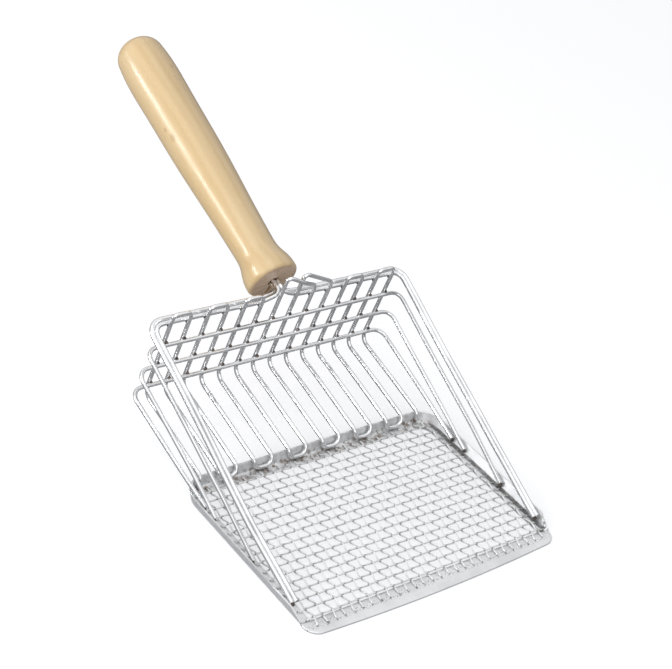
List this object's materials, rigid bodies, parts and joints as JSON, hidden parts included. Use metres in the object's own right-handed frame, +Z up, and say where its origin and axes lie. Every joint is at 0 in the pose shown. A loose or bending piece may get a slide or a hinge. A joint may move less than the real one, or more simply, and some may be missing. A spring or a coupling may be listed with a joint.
{
  "type": "beach sand scoop",
  "caption": "Hand sifting scoop for sand: wooden handle on a welded wire basket with a woven mesh floor and a flat steel lip.",
  "frame": {"origin": "underside of the front lip, in the middle of its width, on the ground", "axes": "+Z up, -Y out of the mouth, +Y towards the handle, +X to the right seen from the mouth looking at the handle"},
  "size_m": [0.1554, 0.2912, 0.1232],
  "materials": {
    "varnished_birch": "gloss",
    "glue": "gloss",
    "sheet_steel": "satin",
    "plated_wire": "polished",
    "mesh_wire": "satin",
    "weld_metal": "rough"
  },
  "bodies": {
    "root": {"back_grid": "plated_wire", "base_frame": "sheet_steel", "front_lip": "sheet_steel", "handle": "varnished_birch", "handle_glue": "glue", "hoop_lower": "plated_wire", "hoop_middle": "plated_wire", "hoop_upper": "plated_wire", "mesh_cross_wires": "mesh_wire", "mesh_long_wires": "mesh_wire", "rim_left_inner": "plated_wire", "rim_left_outer": "plated_wire", "rim_right_inner": "plated_wire", "rim_right_outer": "plated_wire", "welds_grid_feet": "weld_metal", "welds_hoop_feet": "weld_metal", "welds_hoop_lower": "weld_metal", "welds_hoop_middle": "weld_metal", "welds_hoop_upper": "weld_metal", "welds_mesh_front": "weld_metal", "welds_mesh_rear": "weld_metal", "welds_mesh_sides": "weld_metal", "welds_rim": "weld_metal", "welds_rim_feet": "weld_metal"}
  },
  "joints": []
}
